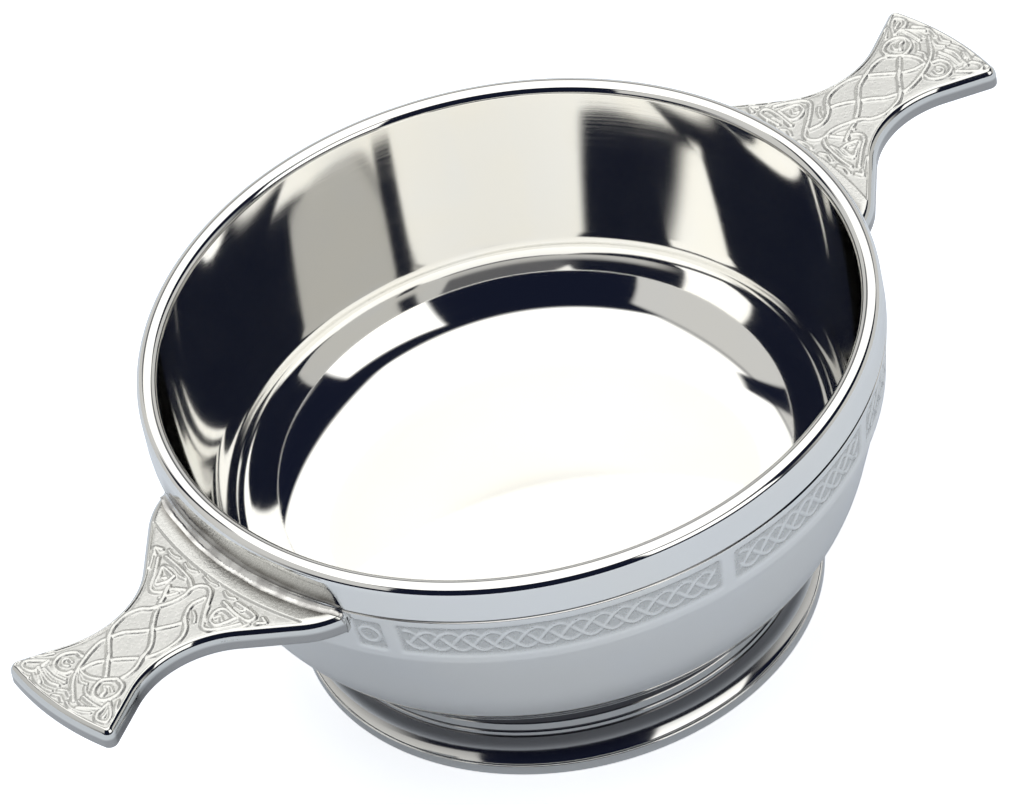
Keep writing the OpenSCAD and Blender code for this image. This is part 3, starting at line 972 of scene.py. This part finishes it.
def lug_mesh():
    """Points and faces of a lug on the right, with its shares of the finishes."""
    grid = lug_grid()
    rows, columns = grid.shape[:2]
    plan = grid.reshape(-1, 2)
    height, shares = lug_heights(plan)
    points = [np.column_stack([plan, LUG_TOP_Z + height])]
    number = np.arange(rows * columns).reshape(rows, columns)
    corners = (number[:-1, :-1], number[1:, :-1], number[1:, 1:], number[:-1, 1:])
    faces = np.stack(corners, -1).reshape(-1, 4).tolist()

    # The loop round the edge, seen from above with the lug on the left
    loop = np.concatenate([number[:-1, 0], number[-1, :-1], number[:0:-1, -1], number[0, :0:-1]])
    rim = plan[loop]
    on_root = np.concatenate([[True], np.zeros(len(loop) - columns, bool), np.ones(columns - 1, bool)])
    ways = np.roll(rim, -1, axis=0) - np.roll(rim, 1, axis=0)
    inward = np.column_stack([-ways[:, 1], ways[:, 0]]) / np.linalg.norm(ways, axis=1)[:, None]
    inward[on_root] = 0
    polish_z = LUG_TOP_Z - LUG_EDGE_R - LUG_EDGE_GAP
    rings = [(0, polish_z), (0, polish_z - LUG_POLISH_FADE), (0, LUG_LOW_Z + LUG_UNDER_R + LUG_EDGE_GAP)]
    rings += [(LUG_UNDER_R * (1 - math.cos(a)), LUG_LOW_Z + LUG_UNDER_R * (1 - math.sin(a)))
              for a in np.radians(np.linspace(0, 90, LUG_UNDER_STEPS + 1))]
    above = loop
    for inset, z in rings:
        below = np.arange(len(loop)) + sum(len(p) for p in points)
        points.append(np.column_stack([rim + inset * inward, np.full(len(loop), z)]))
        faces += np.stack([above, below, np.roll(below, -1), np.roll(above, -1)], -1).tolist()
        above = below
    faces.append(above[::-1].tolist())
    points = np.vstack(points)
    extra = points[len(plan):]
    # The rings below the polished edge take the painted shade of the sides
    ends = {"buffed": 1, "low": 0, "side": extra[:, 2] < polish_z - LUG_POLISH_FADE / 2, "tarnish_and_painted_shade": 0}
    shares = {key: np.append(share, np.full(len(extra), ends[key])) for key, share in shares.items()}
    return points, faces, shares


def make_lugs(material):
    points, faces, shares = lug_mesh()
    for side, sign in (("right", 1), ("left", -1)):
        turned = points * (sign, sign, 1)
        piece = new_object(f"lug_{side}_casting", turned, faces, [material], attributes=shares)
        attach(piece, BODY)
        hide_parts(f"lug_{side}")


SEAM_COLUMNS = 120
SEAM_FILLET_STEPS = 10
# Unevenness of the fillet, with its two wave numbers round the bowl
SEAM_WAVE = 0.06
SEAM_WAVES = (37, 11)
# Angle by which a seam is shorter than the root at each end, in degrees
SEAM_SHORT = 0.1
# Angle in which the fillet narrows to half at each end, in radians
SEAM_END = 0.07
SEAM_SHARP_ANGLE = 40


def make_lug_seams(material):
    """Solder along each lug's root, with a hollow fillet on the lug's top."""
    half = math.radians(ROOT_HALF_ANGLE - SEAM_SHORT)
    angles = np.linspace(-half, half, SEAM_COLUMNS)
    groove_low, groove_high = GROOVE_Z - GROOVE_HALF_W, GROOVE_Z + GROOVE_HALF_W
    inner = [
        (band_r(LUG_LOW_Z), LUG_LOW_Z),
        (band_r(groove_low), groove_low),
        (RIM_R - GROOVE_DEPTH, GROOVE_Z),
        (RIM_R, groove_high),
    ]
    sections = []
    for angle in angles:
        wave = math.sin(SEAM_WAVES[0] * angle) * math.sin(SEAM_WAVES[1] * angle + 1)
        width = LUG_FILLET_W - SEAM_WAVE * (1 + wave)
        width *= 0.5 + 0.5 * smoothstep(0, SEAM_END, half - abs(angle))
        over = max(LUG_EDGE_R - LUG_ROOT_R * (half - abs(angle)), 0)
        top = LUG_TOP_Z - LUG_EDGE_R + math.sqrt(LUG_EDGE_R ** 2 - over ** 2)
        fillet = arc((RIM_R + SEAM_T + width, top + width), width, 180, 270, SEAM_FILLET_STEPS)
        fillet[:, 0] -= SEAM_T * (1 - np.linspace(0, 1, SEAM_FILLET_STEPS + 1))
        wall = [(r, min(z, top + width)) for r, z in inner]
        sections.append(np.vstack([wall, fillet, [(LUG_ROOT_R, top), (LUG_ROOT_R, LUG_LOW_Z)]]))
    count = len(sections[0])
    flat = np.vstack([np.column_stack([s[:, 0] * math.cos(a), s[:, 0] * math.sin(a), s[:, 1]])
                      for s, a in zip(sections, angles)])
    number = np.arange(len(flat)).reshape(-1, count)
    turned = np.roll(number, -1, axis=1)
    faces = np.stack([number[:-1], turned[:-1], turned[1:], number[1:]], -1).reshape(-1, 4).tolist()
    faces += [number[0][::-1].tolist(), number[-1].tolist()]
    for side, sign in (("right", 1), ("left", -1)):
        piece = new_object(f"lug_{side}_solder", flat * (sign, sign, 1), faces, [material])
        piece.data.set_sharp_from_angle(angle=math.radians(SEAM_SHARP_ANGLE))
        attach(piece, BODY)
        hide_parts(f"seam_lug_{side}")


# Studio

CAMERA_TURN = math.radians(CAMERA_AZIMUTH)
TOWARD_CAMERA = Vector((math.sin(CAMERA_TURN), -math.cos(CAMERA_TURN), 0))
RIGHT_OF_CAMERA = Vector((-TOWARD_CAMERA.y, TOWARD_CAMERA.x, 0))
WHITE = (1, 1, 1, 1)
GAP_DARK = (0.008, 0.0105, 0.024, 1)
BACK_GREY = (0.15, 0.15, 0.16, 1)
BACK_TURNS = (125, 145)
PANEL_WHITE = (1, 0.995, 0.97, 1)
# Panels, as places on a level plane at unit height: across to the right of the camera and on to the back
OVERHEAD_FRONT = -0.73
OVERHEAD_BOW = 0.61
OVERHEAD_BACK = 1.44
OVERHEAD_LEFT = (0.84, 0.09)
OVERHEAD_RIGHT = (0.86, 0.35)
OVERHEAD_LIGHT = (1.55, 1.3)
PANEL_SOFT = 0.05
SLIT_W = 0.04
# The slit widens towards the back, in degrees round from the camera to the left
SLIT_TURNS = (120, 132)
SLIT_RISE = 48
LEFT_FRONT_SLOPE = 1.02
LEFT_FRONT_BACK = 0.22
LEFT_RISE = 16
LEFT_LIGHT = 0.68
# The right panel, in degrees right of the camera and up
RIGHT_TURNS = (24, 67)
RIGHT_RISES = (15, 47)
RIGHT_TILT = -0.2
TURN_SOFT = 1.5
RIGHT_LIGHT = 1.6
# The white backdrop behind, low down
BACKDROP_TURN = 80
BACKDROP_SOFT = 15
BACKDROP_RISE = 23
BACKDROP_LIGHT = 0.65
FLOOR_REACH = 6
FLOOR_COLOR = (0.71, 0.765, 0.85, 1)
# Light that the floor adds to itself, to the camera and in the metal
FLOOR_GLOW = 0.7
FLOOR_GLOW_IN_METAL = 0.05


def make_camera():
    elevation = math.radians(CAMERA_ELEVATION)
    back = TOWARD_CAMERA * math.cos(elevation) + Vector((0, 0, math.sin(elevation)))
    data = bpy.data.cameras.new("camera")
    data.lens = CAMERA_LENS
    data.sensor_width = CAMERA_SENSOR
    data.sensor_fit = "HORIZONTAL"
    data.clip_end = CAMERA_REACH
    camera = bpy.data.objects.new("camera", data)
    bpy.context.scene.collection.objects.link(camera)
    roll = Matrix.Rotation(math.radians(-CAMERA_ROLL), 4, "Z")
    camera.matrix_world = (Matrix.Translation(CAMERA_AIM + back * CAMERA_DISTANCE)
                           @ back.to_track_quat("Z", "Y").to_matrix().to_4x4() @ roll)
    bpy.context.scene.camera = camera


def step_up(tree, value, at, soft):
    """Rises smoothly from 0 to 1 as a value passes a place."""
    value = calc(tree, "SUBTRACT", value, at)
    return map_range(tree, value, -soft, soft, 0.0, 1.0)


def all_of(tree, *shares):
    product = shares[0]
    for share in shares[1:]:
        product = calc(tree, "MULTIPLY", product, share)
    return product


def make_world():
    """A dark room with white panels overhead and on each side, and a backdrop low down behind."""
    world = bpy.data.worlds.new("studio")
    bpy.context.scene.world = world
    world.use_nodes = True
    tree = world.node_tree
    tree.nodes.clear()
    way = add_node(tree, "ShaderNodeTexCoord").outputs["Generated"]
    up = dot(tree, way, (0, 0, 1))
    to_right, to_camera = dot(tree, way, RIGHT_OF_CAMERA), dot(tree, way, TOWARD_CAMERA)
    rise = calc(tree, "DEGREES", calc(tree, "ARCSINE", up))
    turn = calc(tree, "DEGREES", calc(tree, "ARCTAN2", to_right, to_camera))
    height = calc(tree, "MAXIMUM", up, 0.01)
    across = calc(tree, "DIVIDE", to_right, height)
    back = calc(tree, "DIVIDE", calc(tree, "MULTIPLY", to_camera, -1.0), height)
    left_edge = calc(tree, "MULTIPLY_ADD", back, -OVERHEAD_LEFT[1], -OVERHEAD_LEFT[0])
    right_edge = calc(tree, "MULTIPLY_ADD", back, OVERHEAD_RIGHT[1], OVERHEAD_RIGHT[0])
    bow = calc(tree, "MULTIPLY", across, across)
    front_edge = calc(tree, "MULTIPLY_ADD", bow, OVERHEAD_BOW, OVERHEAD_FRONT)
    left_front = calc(tree, "MULTIPLY_ADD", across, -LEFT_FRONT_SLOPE, back)
    slit = all_of(
        tree,
        step_up(tree, calc(tree, "MULTIPLY", turn, -1.0), SLIT_TURNS[0], TURN_SOFT),
        step_up(tree, turn, -SLIT_TURNS[1], TURN_SOFT),
        step_up(tree, SLIT_RISE, rise, TURN_SOFT),
    )
    beside_slit = calc(tree, "SUBTRACT", 1.0, slit)

    aside = calc(tree, "ABSOLUTE", turn)
    color = mix_color(tree, map_range(tree, aside, *BACK_TURNS, 0.0, 1.0), GAP_DARK, BACK_GREY)
    backdrop = all_of(
        tree,
        step_up(tree, aside, BACKDROP_TURN, BACKDROP_SOFT),
        step_up(tree, BACKDROP_RISE, rise, TURN_SOFT),
    )
    overhead = all_of(
        tree,
        step_up(tree, back, front_edge, PANEL_SOFT),
        step_up(tree, OVERHEAD_BACK, back, PANEL_SOFT),
        step_up(tree, across, left_edge, PANEL_SOFT),
        step_up(tree, right_edge, across, PANEL_SOFT),
        beside_slit,
    )
    left = all_of(
        tree,
        step_up(tree, calc(tree, "SUBTRACT", left_edge, SLIT_W), across, PANEL_SOFT),
        step_up(tree, left_front, LEFT_FRONT_BACK, PANEL_SOFT),
        step_up(tree, rise, LEFT_RISE, TURN_SOFT),
        beside_slit,
    )
    tilt = calc(tree, "MULTIPLY", calc(tree, "SUBTRACT", turn, RIGHT_TURNS[0]), RIGHT_TILT)
    right = all_of(
        tree,
        step_up(tree, turn, RIGHT_TURNS[0], TURN_SOFT),
        step_up(tree, RIGHT_TURNS[1], turn, TURN_SOFT),
        step_up(tree, rise, RIGHT_RISES[0], TURN_SOFT),
        step_up(tree, calc(tree, "ADD", tilt, RIGHT_RISES[1]), rise, TURN_SOFT),
    )
    overhead_light = map_range(tree, back, OVERHEAD_FRONT, OVERHEAD_BACK, *OVERHEAD_LIGHT, "LINEAR")
    strength = 1.0
    lights = (
        (backdrop, BACKDROP_LIGHT),
        (left, LEFT_LIGHT),
        (right, RIGHT_LIGHT),
        (overhead, overhead_light),
    )
    for share, light in lights:
        color = mix_color(tree, share, color, PANEL_WHITE)
        strength = mix_value(tree, share, strength, light)
    seen = add_node(tree, "ShaderNodeLightPath").outputs["Is Camera Ray"]
    color = mix_color(tree, seen, color, WHITE)
    light = add_node(tree, "ShaderNodeBackground", {"Color": color, "Strength": strength})
    add_node(tree, "ShaderNodeOutputWorld", {"Surface": light.outputs["Background"]})


def make_floor():
    """A pale floor that reads as white to the camera and in the metal, and keeps the object's shadow."""
    material, tree = new_material("floor")
    path = add_node(tree, "ShaderNodeLightPath").outputs
    in_metal = calc(tree, "MAXIMUM", path["Is Glossy Ray"], path["Is Transmission Ray"])
    strength = calc(tree, "MAXIMUM", calc(tree, "MULTIPLY", path["Is Camera Ray"], FLOOR_GLOW),
                    calc(tree, "MULTIPLY", in_metal, FLOOR_GLOW_IN_METAL))
    matt = add_node(tree, "ShaderNodeBsdfDiffuse", {"Color": FLOOR_COLOR})
    glow = add_node(tree, "ShaderNodeEmission", {"Color": WHITE, "Strength": strength})
    both = add_node(tree, "ShaderNodeAddShader", {0: matt.outputs[0], 1: glow.outputs[0]})
    add_node(tree, "ShaderNodeOutputMaterial", {"Surface": both.outputs[0]})
    mesh = bpy.data.meshes.new("floor")
    corners = [(x * FLOOR_REACH, y * FLOOR_REACH, 0) for x, y in ((-1, -1), (1, -1), (1, 1), (-1, 1))]
    mesh.from_pydata(corners, [], [(0, 1, 2, 3)])
    mesh.materials.append(material)
    floor = bpy.data.objects.new("floor", mesh)
    bpy.context.scene.collection.objects.link(floor)


def main():
    bpy.context.scene.view_settings.view_transform = "Standard"
    make_camera()
    make_world()
    make_floor()
    pewter, cast, joint = polished_pewter(), cast_pewter(), solder()
    make_bowl(pewter)
    make_foot(pewter)
    make_foot_seam(joint)
    make_lugs(cast)
    make_lug_seams(joint)


main()
